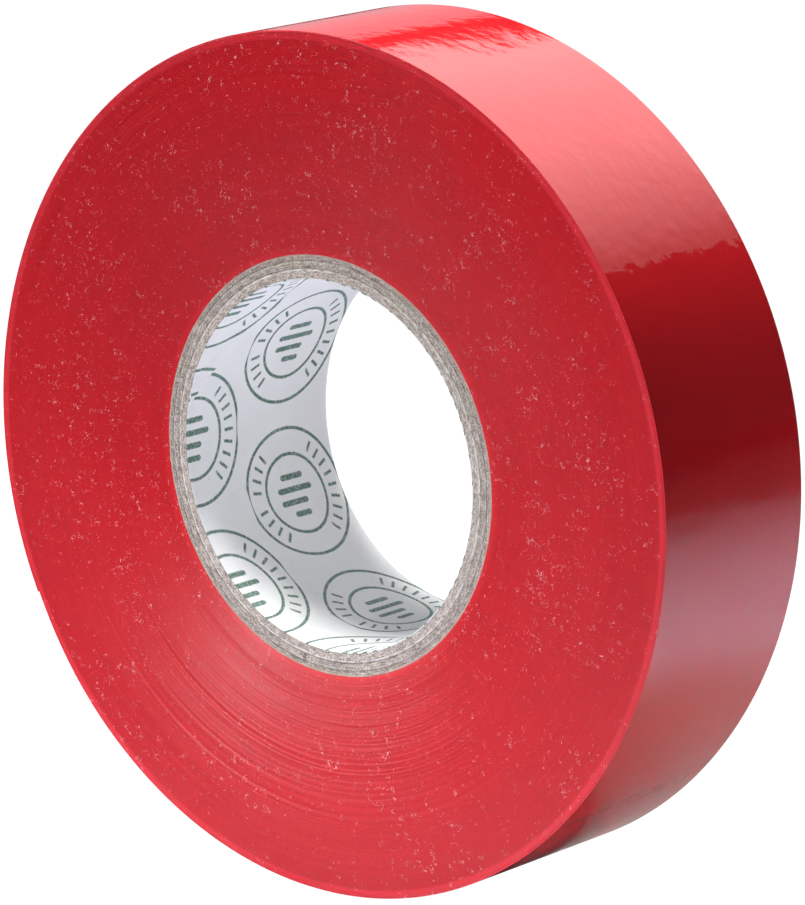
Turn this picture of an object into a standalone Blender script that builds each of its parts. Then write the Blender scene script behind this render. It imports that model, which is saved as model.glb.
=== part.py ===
"""Roll of electrical tape stood on its rim.

The roll's axis is Y and its front face looks along -Y. A paper liner and three greyboard
plies make the core. The tape is wound on the core, and its last few centimetres are three
short lengths on hinges, so that the free end can be peeled from the roll.
"""

from math import ceil, cos, pi, radians, sin

import bmesh
import bpy
from mathutils import Matrix, Vector

# Tape
ROLL_RADIUS = 0.0390
TAPE_WIDTH = 0.0190
TAPE_THICKNESS = 0.00018
DISH = 0.0012  # how far the core stands back from the rim, as the turns creep sideways
FLAT_RIM = 0.0055  # width of the face that stays flat inside the rim

# Core, cut to the width of the tape
CORE_RADIUS = 0.0190
LINER_THICKNESS = 0.0002
PLY_THICKNESS = 0.0004
SEAM_LEAD = 0.0797  # distance along the core in which a wound seam goes once round
SEAM_WIDTH = 0.0003
LINER_SEAM = radians(164)  # where each seam starts at the front, from +X towards +Z
PLY_SEAMS = {
    "core_ply_outer": radians(20),
    "core_ply_middle": radians(262),
    "core_ply_inner": radians(305),
}

# Free end of the tape
END_LENGTH = 0.0123  # each of the three hinged lengths
END_NAMES = ("tape_end_root", "tape_end_middle", "tape_end_tip")
FACETS_TO_FLOOR = 8  # flats of the last turn between the tape's end and the one it stands on

CLEARANCE = 0.0003  # between neighbours that touch on the real roll
FACE_STEPS = 5
TAPE_FACET = 2 * pi / 48
CORE_FACET = 2 * pi / 72

FRONT = -(TAPE_WIDTH + DISH) / 2
BACK = FRONT + TAPE_WIDTH
WINDINGS_RADIUS = ROLL_RADIUS - TAPE_THICKNESS - CLEARANCE
AXIS = Vector((0, 1, 0))


def clear_scene():
    for obj in list(bpy.data.objects):
        bpy.data.objects.remove(obj)


def make_material(name, colour, roughness):
    material = bpy.data.materials.new(name)
    material.use_nodes = True
    shader = material.node_tree.nodes["Principled BSDF"]
    shader.inputs["Base Color"].default_value = (*colour, 1)
    shader.inputs["Roughness"].default_value = roughness
    shader.inputs["Metallic"].default_value = 0
    return material


def add_object(name, mesh, material, origin=(0, 0, 0)):
    """Makes the object of a bmesh that is in world coordinates, with its origin at a point."""
    bmesh.ops.remove_doubles(mesh, verts=mesh.verts, dist=1e-7)
    bmesh.ops.recalc_face_normals(mesh, faces=mesh.faces)
    bmesh.ops.translate(mesh, verts=mesh.verts, vec=-Vector(origin))
    data = bpy.data.meshes.new(name)
    mesh.to_mesh(data)
    mesh.free()
    if material:
        data.materials.append(material)
    data.shade_smooth()
    data.set_sharp_from_angle(angle=radians(30))
    obj = bpy.data.objects.new(name, data)
    bpy.context.scene.collection.objects.link(obj)
    obj.location = origin
    return obj


def turn_about_axis(angle):
    """A positive angle goes from +X towards +Z."""
    return Matrix.Rotation(-angle, 4, AXIS)


def on_roll(radius, angle):
    return Vector((radius * cos(angle), 0, radius * sin(angle)))


def flats_in(sweep, facet):
    return ceil(sweep / facet - 1e-6)


def turned(outline, facet, start=0.0, sweep=2 * pi):
    """Spins a closed outline of (radius, y) points about the roll's axis, in flats no wider than a facet."""
    mesh = bmesh.new()
    corners = [mesh.verts.new((radius, y, 0)) for radius, y in outline]
    section = mesh.faces.new(corners)
    whole = sweep >= 2 * pi
    profile = list(section.edges) + corners
    if whole:
        bmesh.ops.delete(mesh, geom=[section], context="FACES_ONLY")
    else:
        profile.append(section)
    bmesh.ops.spin(
        mesh,
        geom=profile,
        cent=(0, 0, 0),
        axis=-AXIS,
        angle=sweep,
        steps=flats_in(sweep, facet),
        use_merge=whole,
    )
    bmesh.ops.transform(mesh, matrix=turn_about_axis(start), verts=mesh.verts)
    return mesh


def rectangle(inner, outer, front, back):
    return [(inner, front), (outer, front), (outer, back), (inner, back)]


def seam_cutter(name, inner, outer, front, seam_angle):
    """A thin helical blade, longer and deeper than the ply that it slits."""
    mesh = bmesh.new()
    reach = SEAM_WIDTH * 3
    half = SEAM_WIDTH / (inner + outer)
    section = [
        mesh.verts.new((radius * cos(side), front - reach, radius * sin(side)))
        for radius, side in (
            (inner - CLEARANCE, -half),
            (outer + CLEARANCE, -half),
            (outer + CLEARANCE, half),
            (inner - CLEARANCE, half),
        )
    ]
    length = TAPE_WIDTH + 2 * reach
    sweep = 2 * pi * length / SEAM_LEAD
    steps = flats_in(sweep, CORE_FACET)
    bmesh.ops.spin(
        mesh,
        geom=[mesh.faces.new(section)] + section,
        cent=(0, 0, 0),
        axis=AXIS,
        dvec=AXIS * length / steps,
        angle=sweep,
        steps=steps,
    )
    start = seam_angle + 2 * pi * reach / SEAM_LEAD
    bmesh.ops.transform(mesh, matrix=turn_about_axis(start), verts=mesh.verts)
    cutter = add_object(name, mesh, None)
    cutter.hide_render = True
    cutter.display_type = "WIRE"
    return cutter


def make_core_layer(name, inner, thickness, seam_angle, material):
    """One strip of the core, bent once round so that its edges nearly meet along a helix."""
    front = FRONT + DISH
    outer = inner + thickness
    ring = turned(rectangle(inner, outer, front, front + TAPE_WIDTH), CORE_FACET)
    layer = add_object(name, ring, material)
    slit = layer.modifiers.new("seam", "BOOLEAN")
    slit.operation = "DIFFERENCE"
    slit.solver = "EXACT"
    slit.object = seam_cutter(name + "_seam", inner, outer, front, seam_angle)
    return layer


def make_core(board, paper):
    """Works inwards from the outside of the core. Each seam starts at its own angle."""
    inner = CORE_RADIUS
    for name, seam_angle in PLY_SEAMS.items():
        inner -= PLY_THICKNESS
        make_core_layer(name, inner, PLY_THICKNESS, seam_angle, board)
        inner -= CLEARANCE
    inner -= LINER_THICKNESS
    make_core_layer("core_liner", inner, LINER_THICKNESS, LINER_SEAM, paper)


def side_creep(radius):
    """How far the turn at this radius stands back from the outermost one."""
    flat = ROLL_RADIUS - FLAT_RIM
    if radius >= flat:
        return 0.0
    return DISH * ((flat - radius) / (flat - CORE_RADIUS)) ** 1.3


def make_windings(material):
    """All turns under the last one, as one ring with a dished front and a domed back."""
    inner = CORE_RADIUS + CLEARANCE
    flat = ROLL_RADIUS - FLAT_RIM
    radii = [inner + (flat - inner) * step / FACE_STEPS for step in range(FACE_STEPS + 1)]
    radii.append(WINDINGS_RADIUS)
    front = [(radius, FRONT + side_creep(radius)) for radius in radii]
    back = [(radius, BACK + side_creep(radius)) for radius in reversed(radii)]
    add_object("tape_windings", turned(front + back, TAPE_FACET), material)


def make_tape_length(name, start, end, material, origin=(0, 0, 0)):
    """A length of the outermost turn between two angles."""
    outline = rectangle(ROLL_RADIUS - TAPE_THICKNESS, ROLL_RADIUS, FRONT, BACK)
    return add_object(name, turned(outline, TAPE_FACET, start, end - start), material, origin)


def make_last_turn(material):
    """The outermost turn, and the chain of hinged lengths that ends it."""
    seat = ROLL_RADIUS - TAPE_THICKNESS
    gap = CLEARANCE / seat
    arc = END_LENGTH / seat
    stuck = 2 * pi - len(END_NAMES) * arc - gap
    flat = stuck / flats_in(stuck, TAPE_FACET)
    end_angle = 3 * pi / 2 - (FACETS_TO_FLOOR + 0.5) * flat
    make_tape_length("tape_outer_turn", end_angle, end_angle + stuck, material)
    root_angle = end_angle - gap / 2 - len(END_NAMES) * arc
    parent = None
    for place, name in enumerate(END_NAMES):
        hinge_angle = root_angle + place * arc
        hinge = on_roll(seat, hinge_angle)
        start = hinge_angle + gap / 2
        length = make_tape_length(name, start, start + arc - gap, material, hinge)
        if parent:
            length.parent = parent
            length.location = hinge - parent_hinge
        parent = length
        parent_hinge = hinge


clear_scene()
vinyl = make_material("red_vinyl", (0.60, 0.02, 0.025), 0.25)
greyboard = make_material("greyboard", (0.36, 0.31, 0.27), 0.9)
liner_paper = make_material("liner_paper", (0.82, 0.82, 0.80), 0.6)
make_core(greyboard, liner_paper)
make_windings(vinyl)
make_last_turn(vinyl)
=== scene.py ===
"""Roll of red electrical tape stood on its rim.

The roll's axis is Y and its front face looks along -Y. It is put together from the inside out:
paper liner, greyboard plies, windings, last turn and free end. Lengths are in metres, and
patterns are in millimetres.
"""

import random
from math import cos, pi, radians, sin, sqrt

import bmesh
import bpy
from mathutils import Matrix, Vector


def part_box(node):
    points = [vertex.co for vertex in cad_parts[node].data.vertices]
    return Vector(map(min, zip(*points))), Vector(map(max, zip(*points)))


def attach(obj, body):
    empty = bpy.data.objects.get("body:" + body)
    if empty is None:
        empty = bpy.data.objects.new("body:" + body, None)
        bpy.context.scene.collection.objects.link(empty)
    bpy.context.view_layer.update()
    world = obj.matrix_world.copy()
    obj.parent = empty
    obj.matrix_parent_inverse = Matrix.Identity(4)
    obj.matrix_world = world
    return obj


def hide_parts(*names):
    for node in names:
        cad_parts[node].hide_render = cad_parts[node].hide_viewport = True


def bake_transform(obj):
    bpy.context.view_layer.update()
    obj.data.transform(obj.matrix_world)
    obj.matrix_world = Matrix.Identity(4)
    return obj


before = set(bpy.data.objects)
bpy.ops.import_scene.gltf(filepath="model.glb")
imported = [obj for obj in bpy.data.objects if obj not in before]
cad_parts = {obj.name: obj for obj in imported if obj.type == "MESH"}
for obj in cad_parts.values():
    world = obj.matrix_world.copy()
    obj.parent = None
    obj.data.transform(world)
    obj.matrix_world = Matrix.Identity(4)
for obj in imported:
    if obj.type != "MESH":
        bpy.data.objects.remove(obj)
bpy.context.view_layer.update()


# Core liner: a strip of thin white paper, printed with green ring marks and wound in a helix
# down the bore. Its edge is lapped over itself and it is glued to the inmost ply.

LINER_PAPER = 0.0001
LINER_SHEET = 0.00009  # the paper itself, a little thinner than the room that it has
LINER_LAP = 0.0016
LAP_STEP = 0.0006
LAP_DROP = 0.00013
LINER_ROUNDING = 0.00002
LINER_SEAM = radians(164)
SEAM_LEAD = 0.0797
SEAM_TWIST = 2 * pi / SEAM_LEAD

MARK_PITCH = 15.0
MARK_START = 45.47
MARK_ROW_BACK = 4.0
MARK_ROW_FRONT = -8.3
RING_OUTER = 6.2
RING_INNER = 3.8
PRINT_STROKE = 0.31
PRINT_BLEED = 0.14
TICK_STEP = radians(13)
TICK_LENGTH = 1.1
TICK_STROKE = 0.3
BAR_STROKE = 0.55
BARS = (
    ((-1.7, -1.2), (-1.7, 1.2)),
    ((-0.5, -2.0), (-0.5, 2.0)),
    ((0.7, -2.0), (0.7, 1.0)),
    ((1.9, -0.8), (1.9, 0.8)),
)

PRINT_GREEN = (0.060, 0.140, 0.098, 1)
PAPER_DULL = (0.77, 0.77, 0.765, 1)
PAPER_BRIGHT = (0.85, 0.85, 0.845, 1)
PAPER_FIBRE = (0.62, 0.62, 0.62, 1)
PAPER_SMUDGE = (0.45, 0.43, 0.42, 1)

liner_low, liner_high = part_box("core_liner")
core_front = liner_low.y
core_back = liner_high.y
core_length = core_back - core_front


class Value:
    """A shader socket. Arithmetic on it adds Math nodes to its material."""

    def __init__(self, finish, socket):
        self.finish = finish
        self.socket = socket

    def out(self, name):
        """Another output of the same node."""
        return Value(self.finish, self.socket.node.outputs[name])

    def math(self, operation, first, second=0.0):
        return self.finish.add("ShaderNodeMath", {"operation": operation}, {0: first, 1: second})

    def __add__(self, other):
        return self.math("ADD", self, other)

    def __sub__(self, other):
        return self.math("SUBTRACT", self, other)

    def __rsub__(self, other):
        return self.math("SUBTRACT", other, self)

    def __mul__(self, other):
        return self.math("MULTIPLY", self, other)

    def __truediv__(self, other):
        return self.math("DIVIDE", self, other)

    def __pow__(self, other):
        return self.math("POWER", self, other)

    def __lt__(self, other):
        return self.math("LESS_THAN", self, other)

    def __abs__(self):
        return self.math("ABSOLUTE", self)

    __radd__ = __add__
    __rmul__ = __mul__


class Finish:
    """A material made of nodes, with one Principled shader."""

    def __init__(self, name):
        self.material = bpy.data.materials.new(name)
        self.material.use_nodes = True
        self.tree = self.material.node_tree
        self.shader = self.tree.nodes["Principled BSDF"]

    def feed(self, socket, value):
        """Links a value to a socket, or sets a plain number or colour on it."""
        if isinstance(value, Value):
            self.tree.links.new(value.socket, socket)
        else:
            socket.default_value = value

    def add(self, kind, settings=None, inputs=None, output=0):
        """Adds a node: its settings come first, and then the values or links of its sockets."""
        node = self.tree.nodes.new(kind)
        for name, setting in (settings or {}).items():
            if name == "stops":
                ramp = node.color_ramp.elements
                while len(ramp) < len(setting):
                    ramp.new(1.0)
                for stop, (position, colour) in zip(ramp, setting):
                    stop.position = position
                    stop.color = colour
            else:
                setattr(node, name, setting)
        for name, value in (inputs or {}).items():
            self.feed(node.inputs[name], value)
        return Value(self, node.outputs[output])

    def surface(self, **inputs):
        """Sets the Principled shader's sockets, with underscores for the spaces in their names."""
        for name, value in inputs.items():
            self.feed(self.shader.inputs[name.replace("_", " ")], value)


def mix(mask, first, second):
    """The first colour where the mask is 0, and the second where it is 1."""
    return mask.finish.add(
        "ShaderNodeMix",
        {"data_type": "RGBA", "clamp_factor": True},
        {"Factor": mask, 6: first, 7: second},
        output=2,
    )


def fade(value, start, end):
    """Goes smoothly from 0 at the start to 1 at the end."""
    return value.finish.add(
        "ShaderNodeMapRange",
        {"interpolation_type": "SMOOTHSTEP"},
        {"Value": value, "From Min": start, "From Max": end},
    )


def clamped(value):
    return value.finish.add("ShaderNodeClamp", inputs={0: value})


def fraction(value):
    return value.math("FRACT", value)


def least(first, second):
    return first.math("MINIMUM", first, second)


def distance_off(x, y):
    return (x * x + y * y) ** 0.5


def noise(place, scale, detail=2.0, roughness=0.5):
    return place.finish.add(
        "ShaderNodeTexNoise",
        inputs={"Vector": place, "Scale": scale, "Detail": detail, "Roughness": roughness},
    )


def bump(height, distance, strength=1.0, under=None):
    """A bump of a height field, its distance in metres, over another bump."""
    inputs = {"Height": height, "Distance": distance, "Strength": strength}
    if under:
        inputs["Normal"] = under
    return height.finish.add("ShaderNodeBump", inputs=inputs)


def mm(metres):
    return metres * 1000


def placed(finish):
    """The place on the roll, in millimetres."""
    place = finish.add("ShaderNodeTexCoord", output="Object")
    return finish.add("ShaderNodeVectorMath", {"operation": "SCALE"}, {0: place, "Scale": mm(1.0)})


def parts_of(place):
    return place.finish.add("ShaderNodeSeparateXYZ", inputs={0: place})


def stroke(x, y, start, end):
    """Distance from a straight stroke of print."""
    run = Vector(end) - Vector(start)
    along = ((x - start[0]) * run.x + (y - start[1]) * run.y) / run.length_squared
    along = clamped(along)
    off_x = x - start[0] - along * run.x
    off_y = y - start[1] - along * run.y
    return distance_off(off_x, off_y)


def inked(distance, width):
    """1 on a line of the given width, with a soft edge."""
    return 1 - fade(abs(distance), width / 2 - 0.05, width / 2 + 0.05)


def ring_marks(x, y):
    """Ink of one mark: two rings with ticks between them, round four plain bars."""
    distance = distance_off(x, y)
    tick = x.math("ARCTAN2", x, y) / TICK_STEP + 0.5
    tick = (fraction(tick) - 0.5) * TICK_STEP * distance
    tick_band = inked(distance - (RING_OUTER + RING_INNER) / 2, TICK_LENGTH)
    beside = fade(abs(y), 2.6, 3.0)
    ticks = inked(tick, TICK_STROKE) * tick_band * beside
    bars = stroke(x, y, *BARS[0])
    for bar in BARS[1:]:
        bars = least(bars, stroke(x, y, *bar))
    rings = inked(distance - RING_OUTER, PRINT_STROKE)
    return rings + inked(distance - RING_INNER, PRINT_STROKE) + ticks + inked(bars, BAR_STROKE)


def printed_paper():
    """Off-white paper with two staggered rows of green ring marks, their ink a little starved."""
    paper = Finish("printed_liner_paper")
    flat = parts_of(paper.add("ShaderNodeUVMap", {"uv_map": "unrolled"}))
    round_bore = flat.out("X")
    along_bore = flat.out("Y")
    place = placed(paper)
    bleed = noise(place, 9.0, 3.0)
    front_row = along_bore < (MARK_ROW_BACK + MARK_ROW_FRONT) / 2
    steps = (round_bore - MARK_START) / MARK_PITCH + 0.5 + front_row * 0.5
    x = (fraction(steps) - 0.5) * MARK_PITCH
    y = along_bore - MARK_ROW_BACK + front_row * (MARK_ROW_BACK - MARK_ROW_FRONT)
    starved = fade(noise(place, 5.0, 4.0, 0.65), 0.36, 0.52)
    ink = clamped(ring_marks(x + (bleed - 0.5) * PRINT_BLEED, y) * (0.62 + starved * 0.36))
    cloud = noise(place, 0.35, 3.0)
    fibre = noise(place, 14.0, 4.0, 0.7)
    smudge = fade(noise(place, 0.8, 5.0, 0.7), 0.60, 0.72)
    white = mix(cloud, PAPER_DULL, PAPER_BRIGHT)
    white = mix(fade(fibre, 0.35, 0.65) * 0.3, white, PAPER_FIBRE)
    white = mix(smudge * 0.25, white, PAPER_SMUDGE)
    paper.surface(
        Base_Color=mix(ink, white, PRINT_GREEN),
        Roughness=0.55 + fibre * 0.2,
        Normal=bump(fibre, 0.00002, 0.6, bump(cloud, 0.00008, 0.4)),
        Specular_IOR_Level=0.35,
    )
    return paper.material


def flat_strip(length, width, thickness, steps, rows, rounding):
    """A strip lying flat: its length along X, width along Y, and thickness up from Z = 0.

    Its long corners are rounded over.
    """
    mesh = bmesh.new()
    bmesh.ops.create_grid(mesh, x_segments=steps, y_segments=rows, size=0.5)
    bmesh.ops.scale(mesh, verts=mesh.verts, vec=(length, width, 1))
    bmesh.ops.translate(mesh, verts=mesh.verts, vec=(length / 2, width / 2, 0))
    bmesh.ops.solidify(mesh, geom=mesh.faces, thickness=-thickness)
    low = min(vert.co.z for vert in mesh.verts)
    bmesh.ops.translate(mesh, verts=mesh.verts, vec=(0, 0, -low))
    long_corners = []
    for edge in mesh.edges:
        first, second = edge.verts
        if edge.calc_face_angle() > 1 and abs(first.co.x - second.co.x) > 1e-6:
            long_corners.append(edge)
    bmesh.ops.bevel(
        mesh,
        geom=long_corners,
        offset=rounding,
        segments=2,
        profile=0.5,
        affect="EDGES",
        material=-1,
    )
    bmesh.ops.recalc_face_normals(mesh, faces=mesh.faces)
    return mesh


def bend_round(mesh, radius, start, front, twist=0.0):
    """Bends a flat strip round the roll's axis, its underside at the radius.

    The unrolled map keeps the place round and along the roll, in millimetres.
    """
    unrolled = mesh.loops.layers.uv.new("unrolled")
    angles = {}
    for vert in mesh.verts:
        angle = start + vert.co.x / radius - twist * vert.co.y
        angles[vert] = angle
        reach = radius + vert.co.z
        vert.co = Vector((reach * cos(angle), front + vert.co.y, reach * sin(angle)))
    for face in mesh.faces:
        for loop in face.loops:
            around = angles[loop.vert] * radius
            loop[unrolled].uv = (mm(around), mm(loop.vert.co.y))


def make_piece(name, mesh, materials, smooth_below):
    """The finished object of a mesh. Edges sharper than the angle stay crisp."""
    bmesh.ops.remove_doubles(mesh, verts=mesh.verts, dist=1e-7)
    bmesh.ops.recalc_face_normals(mesh, faces=mesh.faces)
    data = bpy.data.meshes.new(name)
    mesh.to_mesh(data)
    mesh.free()
    for material in materials:
        data.materials.append(material)
    data.shade_smooth()
    data.set_sharp_from_angle(angle=smooth_below)
    piece = bpy.data.objects.new(name, data)
    bpy.context.scene.collection.objects.link(piece)
    return piece


bore_radius = liner_high.x - LINER_PAPER
liner_length = 2 * pi * bore_radius + LINER_LAP
lap_start = liner_length - LINER_LAP - LAP_STEP
strip = flat_strip(liner_length, core_length, LINER_SHEET, 220, 20, LINER_ROUNDING)
for vert in strip.verts:
    lapped = (vert.co.x - lap_start) / LAP_STEP
    vert.co.z -= LAP_DROP * min(max(lapped, 0), 1)
bend_round(strip, bore_radius, LINER_SEAM, core_front, SEAM_TWIST)
liner = make_piece("liner", strip, [printed_paper()], radians(40))
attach(liner, "roll")
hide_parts("core_liner")


# Core plies: three strips of grey chipboard, each wound in a helix with its edges butted and
# glued over the one inside it. The tube was sawn to length, which leaves rough, furred ends.

# name, angle of the seam at the front, lightness, and how much glue shows pale or brown
PLIES = (
    ("inner", 305, 0.03, 0.85, 0.0),
    ("middle", 262, 0.0, 0.30, 0.0),
    ("outer", 20, -0.015, 0.0, 0.55),
)
CAD_CLEARANCE = 0.0003  # what the CAD leaves between plies, which the glue line shares here
GLUE_LINE = 0.00003
SEAM_GAP = 0.00012
PLY_ROUNDING = 0.00003
SAW_ROUGHNESS = 0.00003

BOARD_DARK = (0.160, 0.128, 0.104, 1)
BOARD_GREY = (0.345, 0.288, 0.245, 1)
BOARD_PALE = (0.64, 0.565, 0.49, 1)
BOARD_FLECK = (0.10, 0.08, 0.07, 1)
BOARD_GROOVE = (0.09, 0.07, 0.06, 1)
GLUE_PALE = (0.74, 0.71, 0.67, 1)
GLUE_BROWN = (0.56, 0.40, 0.31, 1)


def round_roll(x, z, radius, scale, third):
    """A place for noise that runs round the roll, so that it draws rings or stripes."""
    return x.finish.add(
        "ShaderNodeCombineXYZ", inputs={0: x / radius * scale, 1: z / radius * scale, 2: third}
    )


def greyboard(name, inner, outer, lightness, pale_glue, brown_glue):
    """Recycled board: laminations round the tube, mixed fibres, dark flecks and a glue line."""
    board = Finish(name)
    place = placed(board)
    split = parts_of(place)
    x = split.out("X")
    z = split.out("Z")
    radius = distance_off(x, z)
    lamination = noise(round_roll(x, z, radius, 26.0, radius * 9.0), 1.0, 3.0, 0.6)
    fibre = noise(place, 7.0, 2.0, 0.6)
    coarse = noise(place, 1.1, 3.0)
    fleck = fade(noise(place, 7.5, 2.0, 0.6), 0.66, 0.72)
    glue = fade(radius, mm(outer) - 0.20, mm(outer) - 0.13)
    patchy = fade(noise(round_roll(x, z, radius, 20.0, 0.0), 1.0), 0.35, 0.60)
    groove = 1 - fade(radius, mm(inner), mm(inner) + 0.06)
    mottled = lamination * 0.42 + fibre * 0.48 + coarse * 0.10
    colour = board.add(
        "ShaderNodeValToRGB",
        {"stops": [(0.39, BOARD_DARK), (0.50, BOARD_GREY), (0.61, BOARD_PALE)]},
        {"Fac": mottled + lightness},
    )
    colour = mix(fleck * 0.6, colour, BOARD_FLECK)
    colour = mix(glue * patchy * pale_glue, colour, GLUE_PALE)
    colour = mix(glue * brown_glue, colour, GLUE_BROWN)
    colour = mix(groove * 0.40, colour, BOARD_GROOVE)
    board.surface(
        Base_Color=colour,
        Roughness=0.86 + fibre * 0.12,
        Normal=bump(fibre, 0.00005, 0.9, bump(lamination, 0.00006, 0.6)),
        Specular_IOR_Level=0.2,
    )
    return board.material


rough = random.Random(11)
ply_inner = liner_high.x
for layer, seam, lightness, pale_glue, brown_glue in PLIES:
    ply_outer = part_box("core_ply_" + layer)[1].x
    if layer != "outer":
        ply_outer += (CAD_CLEARANCE - GLUE_LINE) / 2
    length = 2 * pi * ply_inner - SEAM_GAP
    strip = flat_strip(length, core_length, ply_outer - ply_inner, 240, 20, PLY_ROUNDING)
    for vert in strip.verts:
        from_end = min(vert.co.y, core_length - vert.co.y)
        if from_end < 0.00001:
            vert.co.y += rough.uniform(-SAW_ROUGHNESS, SAW_ROUGHNESS)
    bend_round(strip, ply_inner, radians(seam), core_front, SEAM_TWIST)
    finish = greyboard(
        "greyboard_" + layer, ply_inner, ply_outer, lightness, pale_glue, brown_glue
    )
    ply = make_piece("ply_" + layer, strip, [finish], radians(40))
    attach(ply, "roll")
    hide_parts("core_ply_" + layer)
    ply_inner = ply_outer + GLUE_LINE


# Windings: a hundred and ten turns of red PVC tape on the core. The turns have crept sideways
# towards the back near the core, so the front is dished, and each shows its slit edge.

TAPE_THICKNESS = 0.00018
UNDER_LAST_TURN = 0.00001
OVER_CORE = 0.00002
DISH = 0.0012
FLAT_RIM = 0.0055
TURNS = 110
RIDGE = 0.000017  # how far a slit edge stands out from the grooves beside it
NICK = 0.000012
WANDER = 0.00002
UNEVEN_SPACING = 0.18
ROUND_STEPS = 160

SLIT_RED_DARK = (0.385, 0.004, 0.008, 1)
SLIT_RED_BRIGHT = (0.545, 0.006, 0.012, 1)
SLIT_RED_BLOOM = (0.60, 0.014, 0.020, 1)
SLIT_RED_RIM_HIGHLIGHT = (0.72, 0.030, 0.045, 1)
SLIT_RED_CORE_HIGHLIGHT = (0.66, 0.016, 0.022, 1)
LINT_PALE = (0.86, 0.62, 0.62, 1)
BACK_RED_DARK = (0.47, 0.009, 0.013, 1)
BACK_RED_BRIGHT = (0.55, 0.013, 0.018, 1)

turn_low, turn_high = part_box("tape_outer_turn")
tape_front = turn_low.y
tape_back = turn_high.y
roll_radius = turn_high.x
core_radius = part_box("core_ply_outer")[1].x
windings_inner = core_radius + OVER_CORE
windings_radius = roll_radius - TAPE_THICKNESS - UNDER_LAST_TURN


def slit_edges():
    """Slit edges of the turns: satin, ringed red with dust and short pale fibres on it, with painted
    highlights along the rim and by the core.
    """
    vinyl = Finish("slit_tape_edges")
    place = placed(vinyl)
    split = parts_of(place)
    x = split.out("X")
    z = split.out("Z")
    radius = distance_off(x, z)
    rings = noise(round_roll(x, z, radius, 1.6, radius * 3.1), 1.0, 3.0, 0.7)
    broad = noise(round_roll(x, z, radius, 0.8, radius * 0.35), 1.0, 2.0)
    mottle = noise(place, 0.9, 4.0, 0.6)
    # Painted highlight: a brighter red band along the face's outer edge.
    rim_highlight = fade(radius, mm(roll_radius) - 0.9, mm(roll_radius) - 0.55)
    # Painted highlight: a brighter red band on the turns next to the core.
    core_edge_highlight = 1 - fade(radius, mm(core_radius) + 0.1, mm(core_radius) + 0.9)
    red = mix(rings * 0.65 + broad * 0.35, SLIT_RED_DARK, SLIT_RED_BRIGHT)
    red = mix(fade(mottle, 0.45, 0.75) * 0.25, red, SLIT_RED_BLOOM)
    red = mix(rim_highlight * 0.6, red, SLIT_RED_RIM_HIGHLIGHT)
    red = mix(core_edge_highlight * 0.5, red, SLIT_RED_CORE_HIGHLIGHT)
    curl = noise(place, 2.4, 1.0, 0.5)
    where = noise(place, 1.3, 2.0, 0.6)
    drift = fade(noise(place, 0.16, 3.0, 0.6), 0.38, 0.66)
    on_fibre = 1 - fade(abs(curl - 0.5), 0.006, 0.016)
    fibres = on_fibre * fade(where + drift * 0.05, 0.60, 0.65)
    dust = fade(noise(place, 9.0, 1.0) + drift * 0.03, 0.745, 0.790)
    haze = fade(noise(place, 3.2, 4.0, 0.75), 0.58, 0.72) * drift * 0.03
    lint = fibres * (0.22 + drift * 0.38) + dust * 0.5 + haze
    vinyl.surface(
        Base_Color=mix(lint, red, LINT_PALE),
        Roughness=0.16 + rings * 0.16 + lint * 0.3,
        Normal=bump(rings, 0.00003, 0.5, bump(lint, 0.00003, 0.5)),
        Specular_IOR_Level=0.16,
    )
    return vinyl.material


def gloss_vinyl():
    """The tape's back: calendered glossy PVC with faint lengthwise streaks and shallow ripples."""
    vinyl = Finish("tape_back")
    place = placed(vinyl)
    split = parts_of(place)
    x = split.out("X")
    along = split.out("Y")
    z = split.out("Z")
    radius = distance_off(x, z)
    streak = noise(round_roll(x, z, radius, 2.0, along * 2.2), 1.0, 4.0, 0.7)
    ripple = noise(place, 0.16, 2.0, 0.5)
    dimple = noise(place, 0.75, 1.5, 0.5)
    grain = noise(place, 11.0, 2.0)
    rippled = bump(streak, 0.00002, 0.3, bump(ripple, 0.0002, 0.28))
    vinyl.surface(
        Base_Color=mix(streak * 0.6 + ripple * 0.4, BACK_RED_DARK, BACK_RED_BRIGHT),
        Roughness=0.04 + fade(streak, 0.45, 0.75) * 0.03 + grain * 0.02,
        Normal=bump(dimple, 0.00005, 0.55, rippled),
        Specular_IOR_Level=1.0,
    )
    return vinyl.material


def creep(radius):
    """How far the turns at this radius stand back from the outermost."""
    flat = roll_radius - FLAT_RIM
    if radius >= flat:
        return 0.0
    return DISH * ((flat - radius) / (flat - core_radius)) ** 1.3


windings = bmesh.new()
corners = [
    windings.verts.new((radius, y, 0))
    for radius, y in (
        (windings_inner, tape_front),
        (windings_radius, tape_front),
        (windings_radius, tape_back),
        (windings_inner, tape_back),
    )
]
outline = [windings.edges.new((corners[i - 1], corners[i])) for i in range(4)]
end_faces = [edge for edge in outline if abs(edge.verts[0].co.y - edge.verts[1].co.y) < 1e-6]
bmesh.ops.subdivide_edges(windings, edges=end_faces, cuts=2 * TURNS - 1)
wander = random.Random(5)
half_turn = (windings_radius - windings_inner) / (2 * TURNS)
turn_shift = []
turn_step = []
for turn in range(2 * TURNS + 1):
    ridge = RIDGE * wander.uniform(0.7, 1.3) if turn % 2 else 0.0
    turn_shift.append(-ridge + WANDER * wander.uniform(-0.15, 0.15))
    turn_step.append(half_turn * UNEVEN_SPACING * wander.uniform(-1, 1))
turn_step[0] = 0.0
turn_step[-1] = 0.0
for vert in windings.verts:
    turn = round((vert.co.x - windings_inner) / half_turn)
    outward = 1 if vert.co.y < 0 else -1
    vert.co.x += turn_step[turn]
    if turn % 2:
        vert.co.x += half_turn - NICK - turn_step[turn] + turn_step[turn + 1]
    vert.co.y += creep(vert.co.x) + outward * turn_shift[turn]
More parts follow.
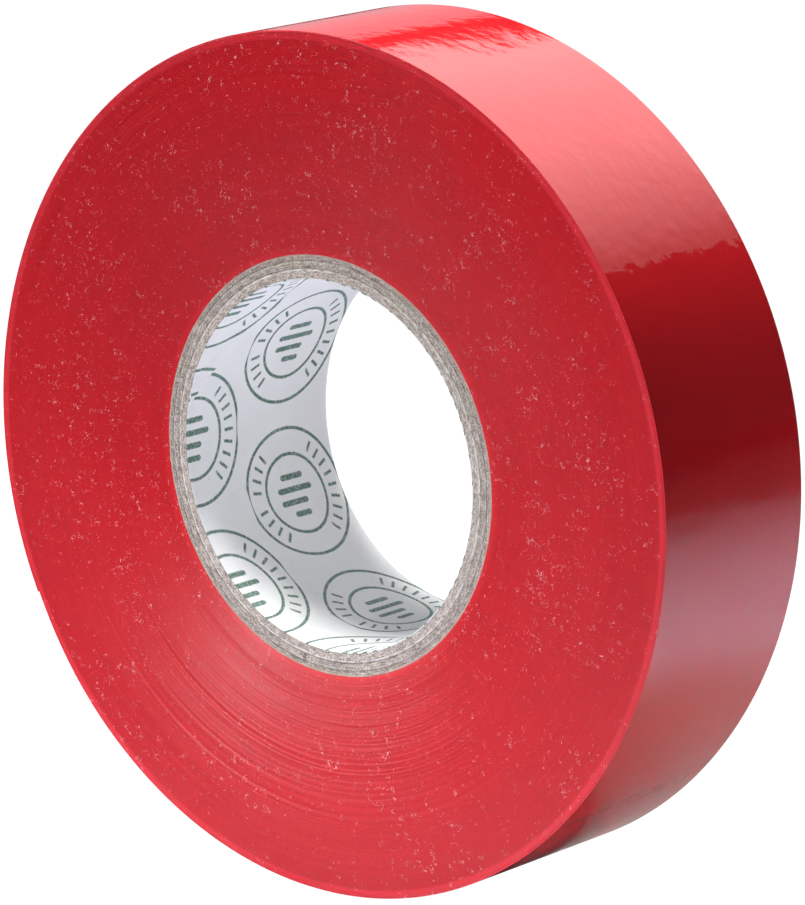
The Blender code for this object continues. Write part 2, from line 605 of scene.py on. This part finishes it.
bmesh.ops.spin(
    windings,
    geom=list(windings.edges) + list(windings.verts),
    cent=(0, 0, 0),
    axis=(0, -1, 0),
    angle=2 * pi,
    steps=ROUND_STEPS,
    use_merge=True,
)
for face in windings.faces:
    middle = face.calc_center_median()
    if sqrt(middle.x ** 2 + middle.z ** 2) > windings_radius - 0.00002:
        face.material_index = 1
tape_back_red = gloss_vinyl()
tape_edge_red = slit_edges()
wound = make_piece("windings", windings, [tape_edge_red, tape_back_red], radians(6))
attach(wound, "roll")
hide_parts("tape_windings")


# Last turn: the outermost turn of the tape, stuck down all round by its own adhesive. Its start
# comes up from under the free end, so its first few degrees climb by one thickness.

TAPE_ROUNDING = 0.00003
TAPE_STEP = 0.0007
CLIMB = radians(20)
STRIP_START = radians(140)
TIP_END = radians(206.53)

GLUE_RED_DARK = (0.26, 0.008, 0.012, 1)
GLUE_RED_BRIGHT = (0.38, 0.014, 0.020, 1)
GLUE_PULLED = (0.50, 0.06, 0.07, 1)

tape_seat = roll_radius - TAPE_THICKNESS


def sticky_side():
    """The adhesive coat: dull, darker and blotched where it has pulled away from the turn below."""
    glue = Finish("adhesive_side")
    place = placed(glue)
    blotch = noise(place, 0.5, 4.0, 0.65)
    pull = noise(place, 4.0, 3.0, 0.7)
    colour = mix(blotch, GLUE_RED_DARK, GLUE_RED_BRIGHT)
    glue.surface(
        Base_Color=mix(fade(pull, 0.55, 0.75) * 0.3, colour, GLUE_PULLED),
        Roughness=0.42 + pull * 0.25,
        Normal=bump(pull, 0.00003, 0.5, bump(blotch, 0.0001, 0.3)),
    )
    return glue.material


adhesive = sticky_side()


def tape_strip(name, start, end, climb=0.0):
    """A length of tape between two angles, sticky side in, with its slit edges rounded over."""
    length = (end - start) * tape_seat
    width = tape_back - tape_front
    steps = round(length / TAPE_STEP)
    strip = flat_strip(length, width, TAPE_THICKNESS, steps, 10, TAPE_ROUNDING)
    if climb:
        for vert in strip.verts:
            share = min(vert.co.x / (climb * tape_seat), 1)
            vert.co.z -= TAPE_THICKNESS * 0.95 * (1 - share) ** 1.5
    for face in strip.faces:
        face.normal_update()
        if abs(face.normal.y) > 0.5:
            face.material_index = 1
        elif face.normal.z < -0.5:
            face.material_index = 2
    bend_round(strip, tape_seat, start, tape_front)
    return make_piece(name, strip, [tape_back_red, tape_edge_red, adhesive], radians(20))


last_turn = tape_strip("last_turn", TIP_END, STRIP_START + 2 * pi, CLIMB)
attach(last_turn, "roll")
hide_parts("tape_outer_turn")


# Free end: the last few centimetres of the tape, cut straight across. It is made in three lengths
# that meet halfway between the hinges, where they are both stiff.

HINGE_ROOT = radians(152.065)
HINGE_PITCH = radians(18.154)
FREE_LENGTHS = (
    ("free_end_root", "tape_end_root", "roll", "end_root"),
    ("free_end_middle", "tape_end_middle", "end_root", "end_middle"),
    ("free_end_tip", "tape_end_tip", "end_middle", "end_tip"),
)


start = STRIP_START
for place, (name, node, before, after) in enumerate(FREE_LENGTHS):
    hinge = HINGE_ROOT + place * HINGE_PITCH
    end = TIP_END if after == "end_tip" else hinge + HINGE_PITCH / 2
    free = tape_strip(name, start, end)
    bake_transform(free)
    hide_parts(node)
    start = end


# Floor: the plain white sweep that the roll stands on. Its colour has a painted pool of light in
# front of the roll, painted shade close behind it, where the roll's rim mirrors it, and painted
# darkening far from the roll. It isn't part of the roll.

FLOOR_REACH = 3.0
FLOOR_DARK = (0.49, 0.50, 0.60, 1)
FLOOR_BRIGHT = (0.52, 0.53, 0.63, 1)
FLOOR_PAINTED_LIGHT_POOL = (0.80, 0.85, 1.0, 1)
FLOOR_PAINTED_SHADE = (0.29, 0.25, 0.24, 1)
FLOOR_PAINTED_FALLOFF = (0.05, 0.05, 0.05, 1)
SEEN_GLOW = 1.15
SEEN_SHARE = 0.9


def white_sweep():
    """Matt white board, overexposed to the lens as a studio sweep is. Its colour carries painted
    light and shade.
    """
    sweep = Finish("white_sweep")
    place = placed(sweep)
    grain = noise(place, 0.02, 3.0)
    split = parts_of(place)
    x = split.out("X")
    y = split.out("Y")
    # Painted pool of light on the floor in front of the roll, centred 20 mm right and 45 mm forward.
    light_pool_reach = distance_off(x - 20, y + 45)
    behind = distance_off(x - 25, y - 22)
    white = mix(grain, FLOOR_DARK, FLOOR_BRIGHT)
    white = mix(1 - fade(light_pool_reach, 35, 95), white, FLOOR_PAINTED_LIGHT_POOL)
    # Painted shade: the floor is painted dark close behind the roll, where the roll's rim mirrors
    # it.
    white = mix(1 - fade(behind, 15, 42), white, FLOOR_PAINTED_SHADE)
    sweep.surface(
        # Painted falloff of light: the floor's colour darkens away from the roll, from 60 to 270 mm.
        Base_Color=mix(fade(distance_off(x, y), 60, 270), white, FLOOR_PAINTED_FALLOFF),
        Roughness=0.8,
        Specular_IOR_Level=0.2,
    )
    seen = sweep.add("ShaderNodeLightPath", output="Is Camera Ray")
    glow = sweep.add("ShaderNodeEmission", inputs={"Color": (1, 1, 1, 1), "Strength": SEEN_GLOW})
    board = Value(sweep, sweep.shader.outputs[0])
    both = sweep.add("ShaderNodeMixShader", inputs={0: seen * SEEN_SHARE, 1: board, 2: glow})
    sweep.feed(sweep.tree.nodes["Material Output"].inputs["Surface"], both)
    return sweep.material


ground = bmesh.new()
bmesh.ops.create_grid(ground, x_segments=8, y_segments=8, size=FLOOR_REACH)
bmesh.ops.translate(ground, verts=ground.verts, vec=(0, 0, -roll_radius))
floor = make_piece("floor", ground, [white_sweep()], radians(30))


# Studio: two large diffusers overhead and low cards behind and in front, on the left, which the
# gloss mirrors, then softboxes and two narrow snoots into the bore, which light the matt parts.

DIFFUSER_HEIGHT = 0.46
DIFFUSER_OUTLINE = (
    (0.396, 0.15), (0.396, 1.15), (-0.32, 1.15), (-0.369, 0.687), (-0.590, 0.813), (-0.75, 0.72),
    (-0.75, 0.15),
)
CARD_WHITE = (0.91, 0.94, 1.0, 1)
SOFTBOXES = (
    ("top_box", (-0.20, -0.05, 0.62), 0.28, 70, 2.15, False),
    ("front_box", (-0.20, -0.82, 0.13), 0.10, 180, 1.9, True),
    ("rear_box", (0.05, 0.95, 0.30), 0.30, 180, 3.5, True),
)
SNOOTS = (
    ("bore_front_snoot", (0.55, -0.62, 0.22), (-0.004, 0.0, 0.0), 2.3, 4.0),
    ("bore_rear_snoot", (0.58, 0.66, 0.05), (-0.002, 0.0, 0.0), 2.5, 34.0),
)
SNOOT_WIDTH = 0.03
SNOOT_BLEND = 0.5
WORLD_LIGHT = 0.02
WORLD_SEEN = 1.0


def upright(first, second, low, high):
    """The outline of a card that stands on the line between two points."""
    return [(*first, low), (*second, low), (*second, high), (*first, high)]


def fading_overhead(paint):
    """Brightest over the roll's left, darker to both sides, with a faint bright line by one edge."""
    x = parts_of(placed(paint)).out("X")
    across = (x + 200) / 1000
    edge = fade(x, 372, 392) * 0.14
    return mix(1 - across * across * 2.4 + edge, (0, 0, 0, 1), (1, 1, 1, 1))


def card(name, outline, glow, overhead=False):
    """A glowing card that only gloss mirrors: its outline is a ring of points."""
    mesh = bmesh.new()
    mesh.faces.new([mesh.verts.new(point) for point in outline])
    paint = Finish(name + "_glow")
    level = fading_overhead(paint) if overhead else CARD_WHITE
    paint.surface(Base_Color=(0, 0, 0, 1), Emission_Color=level, Emission_Strength=glow)
    made = make_piece(name, mesh, [paint.material], radians(30))
    made.visible_camera = False
    made.visible_diffuse = False


def aimed(name, light, place, target):
    """A lamp turned to look at a point."""
    lamp = bpy.data.objects.new(name, light)
    lamp.location = place
    aim = Vector(target) - Vector(place)
    lamp.rotation_euler = aim.to_track_quat("-Z", "Y").to_euler()
    bpy.context.scene.collection.objects.link(lamp)
    return lamp


diffuser = [(x, y, DIFFUSER_HEIGHT) for x, y in DIFFUSER_OUTLINE]
front_diffuser = [(x, -y - 0.2, DIFFUSER_HEIGHT) for x, y in DIFFUSER_OUTLINE]
card("diffuser", diffuser, 1.72, overhead=True)
card("front_diffuser", front_diffuser, 1.5, overhead=True)
card("back_card", upright((-1.0, 0.45), (-0.35, 1.05), -0.03, 0.35), 0.5)
card("front_card", upright((-0.30, -0.62), (-0.62, -0.34), -0.035, 0.17), 6.5)
card("strip_card", upright((-0.32, -0.52), (-0.27, -0.53), -0.03, 0.07), 30.0)

for name, place, width, spread, watts, in_gloss in SOFTBOXES:
    light = bpy.data.lights.new(name, "AREA")
    light.size = width
    light.spread = radians(spread)
    light.energy = watts
    box = aimed(name, light, place, (0, 0, 0))
    box.visible_camera = False
    box.visible_glossy = in_gloss

for name, place, target, spread, watts in SNOOTS:
    light = bpy.data.lights.new(name, "SPOT")
    light.spot_size = radians(spread)
    light.spot_blend = SNOOT_BLEND
    light.shadow_soft_size = SNOOT_WIDTH
    light.energy = watts
    snoot = aimed(name, light, place, target)
    snoot.visible_glossy = False

world = bpy.data.worlds.new("studio")
world.use_nodes = True
sky = world.node_tree.nodes["Background"]
sky.inputs["Color"].default_value = (1, 1, 1, 1)
seen = world.node_tree.nodes.new("ShaderNodeLightPath")
level = world.node_tree.nodes.new("ShaderNodeMapRange")
level.inputs["To Min"].default_value = WORLD_LIGHT
level.inputs["To Max"].default_value = WORLD_SEEN
world.node_tree.links.new(seen.outputs["Is Camera Ray"], level.inputs["Value"])
world.node_tree.links.new(level.outputs[0], sky.inputs["Strength"])
bpy.context.scene.world = world
bpy.context.scene.view_settings.view_transform = "Standard"


# Camera: to the right of the roll, a little above its axis and looking down at it, so that the
# front face, the rim and the inside of the bore all show.

CAMERA_PLACE = Vector((0.30157, -0.35051, 0.11331))
CAMERA_AZIMUTH = radians(40.59)
CAMERA_DIP = radians(13.81)
CAMERA_LENS = 211.17

lens = bpy.data.cameras.new("camera")
lens.lens = CAMERA_LENS
lens.clip_start = 0.01
camera = bpy.data.objects.new("camera", lens)
camera.location = CAMERA_PLACE
camera.rotation_euler = (pi / 2 - CAMERA_DIP, 0, CAMERA_AZIMUTH)
bpy.context.scene.collection.objects.link(camera)
bpy.context.scene.camera = camera
